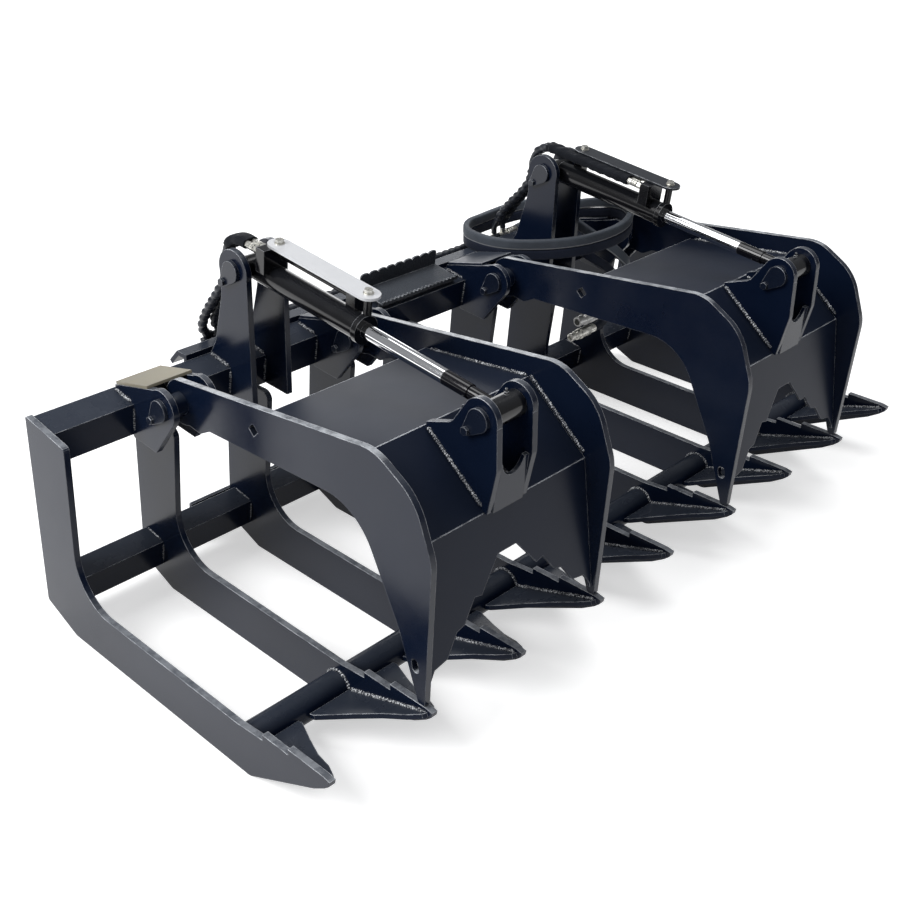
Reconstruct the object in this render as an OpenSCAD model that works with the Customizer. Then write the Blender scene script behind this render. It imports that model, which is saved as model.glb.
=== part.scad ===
// Twin-lid root grapple for a front loader.
// X runs across the width, the teeth point to -Y, +Z is up.
// The origin is on the ground under the middle of the whole grapple.
// Points below are given from the top rear corner of the tines: on_datum() moves each solid to the origin.

/* [Tines] */
// Distance between neighbouring tines
tine_pitch = 228.6; // [180:0.1:260]
// Thickness of each tine plate
tine_t = 12.7; // [8:0.1:20]
// Height of the outer tines' top rear corner
back_height = 473; // [400:1:560]
// Height of the floor bar of a tine
bar_height = 105; // [80:1:130]
// Distance from the top rear corner to the tooth tip
tip_reach = 834; // [760:1:900]
// Height of the tooth tip
tip_height = 128; // [110:1:145]
// Rearward offset of the heel corner
heel_back = 38; // [20:1:50]
// Steps cut in the top of each tooth
tooth_steps = 3; // [1:1:5]
// Height of one step in a tooth
step_rise = 6; // [3:0.5:8]
// Thickness of the flat tooth wings
wing_t = 10; // [6:0.5:14]
// Reach of a tooth wing beside its tine, at the pipe
wing_reach = 95; // [60:1:104]

/* [Cross members] */
// Side of the upper square tube
upper_tube_w = 70; // [60:1:76]
// Side of the lower square tube
lower_tube_w = 60; // [50:1:64]
// Wall of both square tubes
tube_wall = 6; // [3:0.5:8]
// Outside diameter of the front pipe
pipe_d = 60.3; // [48:0.1:66]
// Wall of the front pipe
pipe_wall = 5; // [3:0.1:8]

/* [Hinges] */
// Thickness of the ears, towers and lid sides
ear_t = 12.7; // [8:0.1:16]
// Half of the free space between two ears
ear_half_gap = 38; // [34:0.5:44]
// Diameter of the lid hinge pins and the tower pins
pin_d = 25.4; // [20:0.1:28]
// Outside diameter of the hinge tubes and the cylinder's rear eye
hinge_tube_d = 44; // [38:0.5:52]
// Diameter of the pins in the lid's ears
eye_pin_d = 22; // [16:0.5:25]
// Thickness of the pins' flag plates
flag_t = 8; // [5:0.5:10]
// Size of the small bolts across the thread
bolt_d = 10; // [8:1:12]

/* [Lids] */
// Thickness of the bent lid sheet
cover_t = 6.4; // [4:0.1:8]
// Half of the flat top of the lid's front cut-out
notch_half = 24; // [16:1:34]

/* [Cylinders] */
// Outside diameter of the barrel
barrel_d = 50; // [46:1:56]
// Bore of the barrel
bore_d = 40; // [36:1:42]
// Diameter of the piston rod
rod_d = 28; // [22:1:30]
// Distance from the tower pin to the face of the gland
barrel_len = 325; // [300:1:350]
// Outside diameter of the gland
gland_d = 57; // [54:1:62]
// Outside diameter of the rod eye
eye_d = 50; // [48:1:54]
// Bore of the rod eye, wide because the linkage is opened there
eye_bore = 43; // [42:0.5:45]
// Diameter of the steel line to the front port
line_d = 12; // [8:1:14]
// Thickness of the plate that guards the line
guard_t = 5; // [3:0.5:6]
// Width of the guard plate
guard_w = 46; // [36:1:50]
// Outside diameter of the hoses to the cylinders
hose_d = 14.5; // [12:0.5:15]
// Outside diameter of the sleeved lead hoses
lead_d = 20; // [16:0.5:20.5]
// Radius of the hoses' bend over a tower
hose_bend_r = 56; // [55:0.5:56.5]
// Wall of the fabric sleeve over a tower
sleeve_t = 1.4; // [1:0.1:1.5]
// Length of the left sleeve in front of its tower
short_sleeve = 14; // [8:1:20]

/* [Hitch and step] */
// Width of the rear hitch
hitch_w = 1130; // [1000:5:1200]
// Thickness of the hitch plates
hitch_t = 10; // [8:0.5:14]
// Distance between the two lock slots
slot_pitch = 943; // [900:1:960]
// Width of a lock slot along X
slot_w = 70; // [50:1:80]
// Depth of a lock slot
slot_d = 28; // [22:1:32]
// Distance from a lock slot to the sill's rear edge
slot_edge = 12; // [8:1:14]
// Depth of the sill behind the tines
sill_lip = 62; // [60:1:72]
// Depth of the hook's flat top behind the upper tube
hook_flat = 28; // [26:1:32]
// Depth of the hook's sloping lip
hook_lip = 26; // [20:1:30]
// Width of the foot step
foot_w = 240; // [160:5:300]
// Height of the foot step's rear flange above its tread
flange_h = 38; // [24:1:44]
// Small teeth along the foot step's front edge
foot_teeth = 20; // [8:1:24]
// Waves along the top of the foot step's rear flange
foot_waves = 9; // [5:1:12]

/* [Clearances] */
// Gap around welded round parts
weld_gap = 0.3; // [0.1:0.1:0.6]
// Radial clearance of a turning pin
pin_clear = 0.06; // [0.02:0.01:0.1]
// Side play of each hinge tube
side_play = 0.5; // [0.3:0.1:1]
// Radial clearance of the piston and the rod in the gland
slide_clear = 0.05; // [0.02:0.01:0.1]
// Gap under the closed lid's tips
tip_gap = 2; // [1:0.5:4]

/* [Hidden] */

navy = [0.06, 0.08, 0.13];
black = [0.04, 0.04, 0.045];
steel = [0.75, 0.76, 0.78];
zinc = [0.66, 0.66, 0.62];
rubber = [0.05, 0.05, 0.05];
eps = 0.01;
front = -tip_reach;
tine_count = 9;
mid_tine = (tine_count - 1) / 2;
frame_half = mid_tine * tine_pitch;

// The lids' middles and the outer tines of each lid
lid_x = [-2 * tine_pitch, 2 * tine_pitch];

// Lean of the back and of both square tubes
tube_tilt = 9.8;
lean = heel_back / (back_height - 40);
function rear_y(z) = (back_height - z) * lean;

// Hitch sill: heights of its top edge and its bend, and its rear edge
sill_top = 112;
sill_low = 34;
sill_rear = rear_y(sill_low) + sill_lip;

// Square tubes: rear top corner in (Y, Z)
upper_corner = [-5, back_height - 3.5];
lower_corner = [14, 121];
// Corner of a tilted square tube: f along its top to the front, d down its side
function tube_pt(corner, f, d) = corner + [
    -f * cos(tube_tilt) + d * sin(tube_tilt),
    -f * sin(tube_tilt) - d * cos(tube_tilt)
];

// Front pipe and tooth
pipe_c = [front + 242, bar_height / 2];
tooth_len = 230;
tooth_root_y = front + tooth_len + 9;
tooth_base_z = bar_height - 2;
tooth_top_z = tooth_base_z + step_rise * (2 * tooth_steps - 1);
heel_y = front + 217;
wing_angle = 18.6;

// Linkage points in (Y, Z)
hinge_c = [-168, back_height + 6];
tower_c = [-107, back_height + 201];
eye_c = [front + 74, back_height + 123];
cyl_vec = eye_c - tower_c;
cyl_len = norm(cyl_vec);
cyl_tilt = atan2(cyl_vec[1], -cyl_vec[0]);
ear_nose_r = 40;
tower_nose_r = 43;
eye_nose_r = 38;

// Outline corners with a radius each become arcs
function unit(v) = v / norm(v);
function arc_at(p, a, b, r, n) =
    let (
        ua = unit(a - p),
        ub = unit(b - p),
        half = acos(max(-1, min(1, ua * ub))) / 2,
        reach = min(r / tan(half), 0.49 * min(norm(a - p), norm(b - p))),
        rr = reach * tan(half),
        c = p + unit(ua + ub) * (rr / sin(half)),
        s = p + ua * reach - c,
        e = p + ub * reach - c,
        a0 = atan2(s[1], s[0]),
        turn = atan2(s[0] * e[1] - s[1] * e[0], s * e)
    )
    [for (i = [0:n]) c + rr * [cos(a0 + turn * i / n), sin(a0 + turn * i / n)]];
function rounded(list) = [
    for (i = [0:len(list) - 1])
    let (
        q = list[i],
        p = [q[0], q[1]],
        a = list[(i + len(list) - 1) % len(list)],
        b = list[(i + 1) % len(list)]
    )
    each (q[2] > 0
        ? arc_at(p, [a[0], a[1]], [b[0], b[1]], q[2], q[2] > 60 ? 12 : (q[2] > 15 ? 6 : 3))
        : [p])
];

// Moves a solid from the tines' top rear corner to the middle of the grapple's depth
module on_datum() {
    translate([0, (tip_reach - sill_rear) / 2, 0]) children();
}

// A plate from a (Y, Z) outline, from x to x + t
module plate(x, t) {
    translate([x, 0, 0])
        rotate([90, 0, 90])
            linear_extrude(t) children();
}

// A round bar along X about a (Y, Z) point
module bar_x(c, d, x0, x1, fn = 48) {
    translate([x0, c[0], c[1]])
        rotate([0, 90, 0])
            cylinder(d = d, h = x1 - x0, $fn = fn);
}

// Cross section of a tilted square tube
module tube_section(corner, w) {
    polygon([tube_pt(corner, 0, 0), tube_pt(corner, w, 0), tube_pt(corner, w, w), tube_pt(corner, 0, w)]);
}

// Frame

function tooth_top() = [
    for (k = [0:tooth_steps - 1])
    let (
        pitch = 0.88 * tooth_len / tooth_steps,
        y = tooth_root_y - k * pitch,
        z = tooth_base_z + k * (step_rise * 2)
    )
    each [[y, z + (k > 0 ? step_rise : 0), 0], [y - pitch, z + step_rise, 0]]
];
function floor_and_tooth() = concat(
    [[-92, bar_height, 95]],
    tooth_top(),
    [
        [front + 16, tooth_top_z, 10],
        [front, tip_height + 2, 0],
        [front + 2, tip_height - 8, 4],
        [front + 14, tip_height - 19, 12],
        [front + 42, tip_height - 38, 40],
        [heel_y, 0, 30],
        [-60, 0, 20],
        [heel_back, 40, 8]
    ]
);
outer_outline = rounded(concat(
    [[0, back_height, 4], [-128, back_height - 22, 8]],
    floor_and_tooth()
));
inner_outline = rounded(concat(
    [
        concat(tube_pt(upper_corner, 0, upper_tube_w), [0]),
        concat(tube_pt(upper_corner, upper_tube_w, upper_tube_w), [0]),
        concat(tube_pt(upper_corner, upper_tube_w, upper_tube_w - 15), [0]),
        [-132, back_height - 68, 18]
    ],
    floor_and_tooth()
));

module tine(i) {
    outer = i == 0 || i == tine_count - 1;
    x = (i - mid_tine) * tine_pitch - tine_t / 2;
    color(navy) on_datum()
        difference() {
            plate(x, tine_t)
                if (outer) {
                    polygon(outer_outline);
                } else {
                    difference() {
                        polygon(inner_outline);
                        tube_section(lower_corner, lower_tube_w);
                    }
                }
            if (!outer)
                bar_x(pipe_c, pipe_d + 2 * weld_gap, x - 1, x + tine_t + 1);
        }
}

module square_tube(corner, w) {
    color(navy) on_datum()
        plate(-frame_half + tine_t / 2, 2 * frame_half - tine_t)
            difference() {
                tube_section(corner, w);
                tube_section(tube_pt(corner, tube_wall, tube_wall), w - 2 * tube_wall);
            }
}

module front_pipe() {
    x0 = -frame_half + tine_t / 2;
    color(navy) on_datum()
        difference() {
            bar_x(pipe_c, pipe_d, x0, -x0);
            bar_x(pipe_c, pipe_d - 2 * pipe_wall, x0 - 1, -x0 + 1);
        }
}

// One flat wing: welded to the side of a tine, coped round the pipe and narrowing to the tip
// Its outer edge is given as [share of the reach, share of the length]
wing_edge = [[1, 0.19], [0.64, 0.47], [0.39, 0.68], [0.23, 0.87], [0.09, 0.98], [0, 1]];
module wing(side) {
    wing_len = (pipe_c[0] - front - 9) / cos(wing_angle);
    difference() {
        translate([side * tine_t / 2, pipe_c[0], pipe_c[1] - wing_t - 4])
            rotate([-wing_angle, 0, 0])
                mirror([0, 1, 0])
                    linear_extrude(wing_t)
                        polygon(concat([[0, 0], [side * wing_reach, 0]],
                            [for (q = wing_edge) [side * q[0] * wing_reach, q[1] * wing_len]]));
        bar_x(pipe_c, pipe_d + 2 * weld_gap, -wing_reach - tine_t, wing_reach + tine_t);
    }
}

module tooth_wings() {
    color(navy) on_datum()
        for (i = [0:tine_count - 1])
            translate([(i - mid_tine) * tine_pitch, 0, 0]) {
                if (i > 0) wing(-1);
                if (i < tine_count - 1) wing(1);
            }
}

// Ear of a lid hinge, notched over the upper tube
ear_cover_rear = [-14, back_height + 7];
ear_cover_front = [-130, back_height + 36];
ear_points = [
    [ear_cover_rear[0], back_height - 8, 0],
    concat(ear_cover_rear, [3]),
    concat(ear_cover_front, [6]),
    [hinge_c[0], hinge_c[1] + ear_nose_r, 0],
    [hinge_c[0] - 34, hinge_c[1] - 21, 4],
    [-134, back_height - 98, 2],
    [-60, back_height - 92, 4],
    [-50, back_height - 60, 0]
];
module ear_outline() {
    difference() {
        union() {
            polygon(rounded(ear_points));
            translate(hinge_c) circle(r = ear_nose_r, $fn = 48);
        }
        tube_section(upper_corner, upper_tube_w);
    }
}

hinge_tines = [1, 3, 5, 7];
module hinge_ears() {
    color(navy) on_datum()
        for (i = hinge_tines, side = [-1, 1])
            translate([(i - mid_tine) * tine_pitch + side * (ear_half_gap + ear_t / 2), 0, 0])
                difference() {
                    plate(-ear_t / 2, ear_t) ear_outline();
                    bar_x(hinge_c, pin_d + 2 * pin_clear, -ear_t, ear_t);
                }
}

cover_plate_t = 6;
module bracket_covers() {
    run = ear_cover_front - ear_cover_rear;
    slope = atan2(run[1], -run[0]);
    half = ear_half_gap + ear_t;
    color(navy) on_datum()
        for (i = hinge_tines)
            translate([(i - mid_tine) * tine_pitch, ear_cover_rear[0], ear_cover_rear[1]])
                rotate([-slope, 0, 0])
                    translate([-half, -norm(run) + 2, 0])
                        cube([2 * half, norm(run) - 8, cover_plate_t]);
}

tower_points = [
    [-8, back_height - 4, 0],
    [-30, back_height + 30, 60],
    [-64, tower_c[1] - 60, 60],
    [tower_c[0] + tower_nose_r - 1, tower_c[1], 0],
    [tower_c[0] - tower_nose_r + 1, tower_c[1], 0],
    [-140, back_height - 84, 2],
    [-62, back_height - 80, 0],
    [-50, back_height - 50, 0]
];
module tower_outline() {
    difference() {
        union() {
            polygon(rounded(tower_points));
            translate(tower_c) circle(r = tower_nose_r, $fn = 48);
        }
        tube_section(upper_corner, upper_tube_w);
    }
}

module towers() {
    color(navy) on_datum()
        for (x = lid_x, side = [-1, 1])
            translate([x + side * (ear_half_gap + ear_t / 2), 0, 0])
                difference() {
                    plate(-ear_t / 2, ear_t) tower_outline();
                    bar_x(tower_c, pin_d + 2 * pin_clear, -ear_t, ear_t);
                }
}

// Rear hitch: a hook above, a sill with two lock slots below
hook_tall = 45;
hook_rise = 2;
hook_bend = 45;
hook_edge = upper_corner + [hook_flat + hitch_t * tan(hook_bend / 2), hook_rise + hitch_t];
module hitch_top() {
    low = tube_pt(upper_corner, 0, hook_tall);
    out = hitch_t * [cos(tube_tilt), -sin(tube_tilt)];
    inside = upper_corner + [hook_flat, hook_rise];
    lip = inside + [hook_lip, -hook_lip * tan(hook_bend)];
    color(navy) on_datum()
        plate(-hitch_w / 2, hitch_w)
            polygon([
                low, low + out, upper_corner + [out[0] - (hook_rise - out[1]) * tan(tube_tilt), hook_rise],
                inside, lip, lip + hitch_t * [sin(hook_bend), cos(hook_bend)],
                hook_edge, upper_corner + [0, hook_rise + hitch_t], upper_corner
            ]);
}

module hitch_sill() {
    y0 = rear_y(sill_low) + weld_gap;
    y1 = rear_y(sill_top) + weld_gap;
    drop = 12;
    color(navy) on_datum()
        difference() {
            plate(-hitch_w / 2, hitch_w)
                polygon([
                    [y1, sill_top], [y1 + hitch_t, sill_top], [y0 + hitch_t, sill_low + hitch_t],
                    [sill_rear, sill_low - drop + hitch_t], [sill_rear, sill_low - drop], [y0, sill_low]
                ]);
            for (side = [-1, 1])
                translate([side * slot_pitch / 2, sill_rear - slot_edge - slot_d / 2, 0])
                    linear_extrude(sill_top) {
                        square([slot_w - slot_d, slot_d], center = true);
                        for (end = [-1, 1])
                            translate([end * (slot_w - slot_d) / 2, 0]) circle(d = slot_d, $fn = 48);
                    }
        }
}

// Foot step: a tread on two legs, with a toothed front edge and a wavy rear flange
step_plate = 4;
tread_lift = 12;
step_lip = 7;
module foot_edge(y, top) {
    translate([0, y + step_plate, tread_lift + step_plate - eps])
        rotate([90, 0, 0])
            linear_extrude(step_plate)
                polygon(concat([[0, 0]], top, [[foot_w, 0]]));
}
module foot_step() {
    depth = upper_tube_w + 10;
    tooth = foot_w / foot_teeth;
    wave = foot_w / foot_waves;
    wave_shape = [[0.03, 5], [0.14, 1.4], [0.34, 0], [0.66, 0], [0.86, 1.4], [0.97, 5]];
    color(navy) on_datum()
        translate([30 - foot_w / 2, upper_corner[0], upper_corner[1]])
            rotate([tube_tilt, 0, 0])
                translate([0, 10 - depth, 0]) {
                    translate([0, 0, tread_lift]) cube([foot_w, depth, step_plate]);
                    for (y = [10, depth - 14])
                        translate([0, y, 0]) cube([foot_w, step_plate, tread_lift + eps]);
                    foot_edge(0, [for (i = [0:foot_teeth - 1])
                        each [[(i + 0.1) * tooth, step_lip - 4], [(i + 0.5) * tooth, step_lip],
                            [(i + 0.9) * tooth, step_lip - 4]]]);
                    foot_edge(depth - step_plate, [for (i = [0:foot_waves - 1], q = wave_shape)
                        [(i + q[0]) * wave, flange_h - q[1]]]);
                }
}

// Pins

flag_r = 22;
bolt_off = [24, -26];

// Flag plate, teardrop from the pin to its bolt
module flag_outline(c) {
    translate(c)
        difference() {
            hull() {
                circle(r = flag_r, $fn = 32);
                translate(bolt_off) circle(r = bolt_d, $fn = 24);
            }
            translate(bolt_off) circle(d = bolt_d + 0.4, $fn = 24);
        }
}

// A pin across two ears with its flag on the -X side
module flag_pin(x, c, d) {
    half = ear_half_gap + ear_t;
    plate(x - half - flag_t - side_play, flag_t) flag_outline(c);
    bar_x(c, d, x - half - flag_t - side_play, x + half + 14);
    bar_x(c, d + 8, x + half + side_play, x + half + 7);
}

module flag_bolt(x, c) {
    face = x - ear_half_gap - ear_t - flag_t - side_play;
    at = c + bolt_off;
    bar_x(at, bolt_d * 1.7, face - 6, face - 0.1, 6);
    bar_x(at, bolt_d, face - 0.2, face + flag_t, 24);
}

module frame_pins() {
    color(steel) on_datum() {
        for (i = hinge_tines) flag_pin((i - mid_tine) * tine_pitch, hinge_c, pin_d);
        for (x = lid_x) flag_pin(x, tower_c, pin_d);
    }
}

module lid_pin(x) {
    color(steel) on_datum() flag_pin(x, eye_c, eye_pin_d);
}

module lid_pin_bolt(x) {
    color(zinc) on_datum() flag_bolt(x, eye_c);
}

module frame_pin_bolts() {
    color(zinc) on_datum() {
        for (i = hinge_tines) flag_bolt((i - mid_tine) * tine_pitch, hinge_c);
        for (x = lid_x) flag_bolt(x, tower_c);
    }
}

// Lids

lid_tip_z = tooth_top_z + tip_gap;
arm_r = 46;
fold_1 = [front + 205, back_height + 64];
fold_2 = [front + 61, back_height - 52];
panel_rear = [hinge_c[0] - 191, back_height + 35];
panel_foot = [front + 24, lid_tip_z + 17];
cutter_y = front + 134;
cutter_len = 200;
lid_side_points = [
    [hinge_c[0], hinge_c[1] + arm_r, 0],
    [front + 134, back_height + 115, 90],
    [front + 41, back_height + 62, 110],
    [front + 2, back_height - 42, 90],
    [front + 18, lid_tip_z, 3],
    [front + 34, lid_tip_z, 3],
    [front + 80, lid_tip_z + 133, 60],
    [front + 179, back_height - 8, 120],
    [hinge_c[0] - 84, back_height - 24, 8],
    [hinge_c[0] - 54, back_height - 40, 14],
    [hinge_c[0] - 8, back_height - 34, 10],
    [hinge_c[0] + 4, hinge_c[1] - 10, 0]
];
lid_eyelet = [hinge_c[0] - 220, back_height + 31];
lid_eyelet_r = 13;
lid_slot = [[front + 40, lid_tip_z + 69], [front + 42, lid_tip_z + 80]];
lid_slot_r = 8;

module lid_side_outline() {
    difference() {
        union() {
            polygon(rounded(lid_side_points));
            translate(hinge_c) circle(r = arm_r, $fn = 48);
        }
        translate(lid_eyelet) circle(r = lid_eyelet_r, $fn = 4);
        hull()
            for (c = lid_slot) translate(c) circle(r = lid_slot_r, $fn = 24);
    }
}

module lid_side(x) {
    color(navy) on_datum()
        difference() {
            plate(x - ear_t / 2, ear_t) lid_side_outline();
            bar_x(hinge_c, hinge_tube_d + 2 * weld_gap, x - ear_t, x + ear_t);
        }
}

// Thick line through points, for bent sheet seen from its edge
function sheet(points, t) =
    let (
        n = len(points),
        dirs = [for (i = [0:n - 2]) unit(points[i + 1] - points[i])],
        normal = [for (d = dirs) [-d[1], d[0]]],
        inner = [for (i = [0:n - 1])
            i == 0 ? points[0] + normal[0] * t
            : i == n - 1 ? points[i] + normal[n - 2] * t
            : let (m = unit(normal[i - 1] + normal[i])) points[i] + m * (t / (m * normal[i]))]
    )
    concat(points, [for (i = [0:n - 1]) inner[n - 1 - i]]);

// Half of the front cut-out: [distance from the middle, height over the tip], a flight of teeth
cover_half = tine_pitch - ear_t / 2;
notch_side = [
    [notch_half, 197], [50, 165], [72, 137], [90, 141], [120, 101], [140, 96], [168, 57], [cover_half - 22, 51],
    [cover_half - 5, 25]
];

module lid_cover(x) {
    right = [for (q = notch_side) [q[0], lid_tip_z + q[1]]];
    n = len(right);
    left = [for (i = [1:n]) [-right[n - i][0], right[n - i][1]]];
    color(navy) on_datum()
        difference() {
            plate(x - cover_half, 2 * cover_half)
                polygon(sheet([panel_rear, fold_1, fold_2, panel_foot], cover_t));
            translate([x, cutter_y, 0])
                rotate([90, 0, 0])
                    linear_extrude(cutter_len)
                        polygon(concat(right, [[cover_half - 5, 0], [5 - cover_half, 0]], left));
        }
}

ear_base = unit(fold_2 - fold_1);
ear_lift = [ear_base[1], -ear_base[0]] * eps;
ear_seat_rear = fold_1 + ear_base * 6 + ear_lift;
ear_seat_front = fold_2 - ear_base + ear_lift;
lid_ear_points = [
    concat(ear_seat_rear, [0]),
    concat(fold_1 + [-5, 9], [3]),
    concat(eye_c + [66, -29], [30]),
    concat(eye_c + [30, 24], [0]),
    [eye_c[0], eye_c[1] + eye_nose_r, 0],
    [eye_c[0] - eye_nose_r, eye_c[1] - 6, 0],
    concat(eye_c + [-40, -83], [20]),
    concat(ear_seat_front - [8, 2], [2]),
    concat(ear_seat_front, [0])
];
module lid_ear_outline() {
    polygon(rounded(lid_ear_points));
    translate(eye_c) circle(r = eye_nose_r, $fn = 48);
}

strip_h = 92;
strip_dip_r = 33;
module lid_ears(x) {
    strip_base = fold_2 + [-4, 8];
    color(navy) on_datum() {
        for (side = [-1, 1])
            translate([x + side * (ear_half_gap + ear_t / 2), 0, 0])
                difference() {
                    plate(-ear_t / 2, ear_t) lid_ear_outline();
                    bar_x(eye_c, eye_pin_d + 2 * pin_clear, -ear_t, ear_t);
                }
        difference() {
            translate([x - ear_half_gap - eps, strip_base[0] - 6, strip_base[1] - 10])
                rotate([6, 0, 0])
                    cube([2 * ear_half_gap + 2 * eps, 8, strip_h]);
            translate([x, cutter_y, strip_base[1] + strip_h + 4])
                rotate([90, 0, 0])
                    scale([0.9, 1.2, 1])
                        cylinder(r = strip_dip_r, h = cutter_len, $fn = 40);
            plate(x - 60, 120)
                polygon([fold_2 + [-60, -30], fold_2, fold_1, fold_1 + [0, -200], fold_2 + [-60, -200]]);
        }
    }
}

module lid_hinge_tubes(k) {
    color(navy) on_datum()
        for (side = [-1, 1])
            translate([lid_x[k] + side * tine_pitch, 0, 0])
                difference() {
                    bar_x(hinge_c, hinge_tube_d, -ear_half_gap + side_play, ear_half_gap - side_play);
                    bar_x(hinge_c, pin_d + 2 * pin_clear, -ear_half_gap - 1, ear_half_gap + 1);
                }
}

// Cylinders

// Draws along the cylinder: +X of the children runs from the tower pin to the lid's pin
module along_cylinder(x) {
    translate([x, tower_c[0], tower_c[1]])
        rotate([-cyl_tilt, 0, 0])
            rotate([0, 0, -90])
                children();
}

module bar_c(d, a, b, fn = 48) {
    translate([a, 0, 0])
        rotate([0, 90, 0])
            cylinder(d = d, h = b - a, $fn = fn);
}

cap_len = 20;
eye_seat = hinge_tube_d / 2 - 4;
gland_len = 34;
gland_lip = 12;
block_len = 24;
rear_block = 62;
front_block = barrel_len - 46;
long_sleeve = front_block - 50;
guard_z = 66;
guard_y = 6;
guard_ends = [70, barrel_len - 6];
line_at = [12, barrel_d / 2 + 19];

// The two hoses of a cylinder lie side by side between the tower's ears
hose_gap = 1;
hose_pitch = hose_d + hose_gap;
hose_y = [-10.5 - hose_pitch, -10.5];

module barrel(x) {
    color(black) on_datum()
        along_cylinder(x)
            difference() {
                bar_c(barrel_d, eye_seat, barrel_len - gland_lip);
                bar_c(bore_d, hinge_tube_d / 2 + cap_len, barrel_len);
                rotate([90, 0, 0])
                    cylinder(d = hinge_tube_d + 2 * weld_gap, h = 2 * barrel_d, center = true, $fn = 48);
            }
}

module gland(x) {
    color(black) on_datum()
        along_cylinder(x)
            difference() {
                union() {
                    bar_c(bore_d - 2 * slide_clear, barrel_len - gland_len, barrel_len - gland_lip + eps);
                    bar_c(gland_d, barrel_len - gland_lip, barrel_len);
                }
                bar_c(rod_d + 2 * slide_clear, barrel_len - gland_len - 1, barrel_len + 1);
            }
}

module rear_eye(x) {
    half = ear_half_gap - side_play;
    color(black) on_datum()
        difference() {
            bar_x(tower_c, hinge_tube_d, x - half, x + half);
            bar_x(tower_c, pin_d + 2 * pin_clear, x - half - 1, x + half + 1);
        }
}

// Block on the barrel from a0, as wide as y0 to y1 and as high as z
module block_c(a0, y0, y1, z) {
    translate([a0, y0, barrel_d / 3]) cube([block_len, y1 - y0, z - barrel_d / 3]);
}

// Port blocks, the steel line between them, the hose fittings and the guard's post
// The hoses arrive at the rear block, or at the front one
module ports(x, at_front) {
    hose_block = (at_front ? front_block : rear_block) - block_len / 2;
    fit_len = 26;
    crimp_len = 14;
    hose_edge = hose_y[0] - hose_d / 2 - 1;
    inner_edge = line_at[0] + 10;
    color(black) on_datum()
        along_cylinder(x)
            difference() {
                union() {
                    block_c(rear_block - block_len / 2, at_front ? 0 : hose_edge, inner_edge, guard_z);
                    block_c(front_block - block_len / 2, at_front ? hose_edge : 0, inner_edge,
                        at_front ? guard_z - 1 : line_at[1] + 8);
                    translate([rear_block, line_at[0], line_at[1]])
                        rotate([0, 90, 0]) cylinder(d = line_d, h = front_block - rear_block, $fn = 20);
                    for (y = hose_y)
                        translate([hose_block - fit_len, y, hose_bend_r]) {
                            rotate([0, 90, 0]) cylinder(d = hose_d, h = fit_len + eps, $fn = 6);
                            translate([-crimp_len, 0, 0])
                                rotate([0, 90, 0]) cylinder(d = hose_d, h = crimp_len + eps, $fn = 24);
                        }
                    translate([guard_ends[1], guard_y, barrel_d / 3])
                        cylinder(d = 1.6 * bolt_d, h = guard_z - barrel_d / 3, $fn = 32);
                }
                bar_c(barrel_d + 2 * weld_gap, 0, barrel_len);
                bar_c(gland_d + 2 * weld_gap, barrel_len - gland_lip - weld_gap, 2 * barrel_len);
                for (a = guard_ends)
                    translate([a, guard_y, guard_z - 14]) cylinder(d = bolt_d + 0.4, h = 20, $fn = 24);
            }
}

// Cross section of the sleeve round both hoses, height along Y
module sleeve_section(out) {
    r = hose_d / 2 + 0.6 + out;
    mid = (hose_y[0] + hose_y[1]) / 2;
    for (side = [-1, 1])
        translate([0, side * hose_pitch / 2 + mid]) circle(r = r, $fn = 32);
    translate([-r, mid - hose_pitch / 2]) square([2 * r, hose_pitch]);
}

// Sleeve over the tower: a straight run to a = reach and an arc about the tower pin
sleeve_turn = 55;
module hose_sleeve(x, reach) {
    color(rubber) on_datum()
        along_cylinder(x) {
            translate([0, 0, hose_bend_r])
                rotate([0, 90, 0])
                    linear_extrude(reach)
                        difference() {
                            sleeve_section(sleeve_t);
                            sleeve_section(0);
                        }
            rotate([90, 0, 0])
                rotate([0, 0, 90])
                    rotate_extrude(angle = sleeve_turn, $fn = 96)
                        translate([hose_bend_r, 0])
                            mirror([0, 1])
                                difference() {
                                    sleeve_section(sleeve_t);
                                    sleeve_section(0);
                                }
        }
}

module guard(x) {
    r = guard_w / 2;
    color(steel) on_datum()
        along_cylinder(x)
            translate([0, guard_y, guard_z])
                linear_extrude(guard_t)
                    difference() {
                        union() {
                            for (a = guard_ends) translate([a, 0]) circle(r = r, $fn = 40);
                            translate([guard_ends[0], -r]) square([guard_ends[1] - guard_ends[0], guard_w]);
                        }
                        for (a = guard_ends) translate([a, 0]) circle(d = bolt_d + 0.6, $fn = 24);
                    }
}

module guard_bolts(x) {
    top = guard_z + guard_t;
    color(zinc) on_datum()
        along_cylinder(x)
            for (a = guard_ends)
                translate([a, guard_y, 0]) {
                    translate([0, 0, top]) cylinder(d = 2 * bolt_d, h = 2, $fn = 28);
                    translate([0, 0, top + 2 - eps]) cylinder(d = 1.7 * bolt_d, h = 0.65 * bolt_d, $fn = 6);
                    translate([0, 0, guard_z - 12]) cylinder(d = bolt_d, h = top + 2 - guard_z + 12, $fn = 24);
                }
}

module rod(x) {
    color(steel) on_datum()
        along_cylinder(x)
            difference() {
                union() {
                    bar_c(rod_d, barrel_len - 78, cyl_len - 70);
                    bar_c(rod_d - 4, cyl_len - 70 - eps, cyl_len - eye_d / 2 + 3);
                }
                translate([cyl_len, 0, 0])
                    rotate([90, 0, 0])
                        cylinder(d = eye_d + 2 * weld_gap, h = 200, center = true, $fn = 48);
            }
}

module piston(x) {
    color(steel) on_datum()
        along_cylinder(x)
            bar_c(bore_d - 2 * slide_clear, barrel_len - 110, barrel_len - 78);
}

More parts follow.
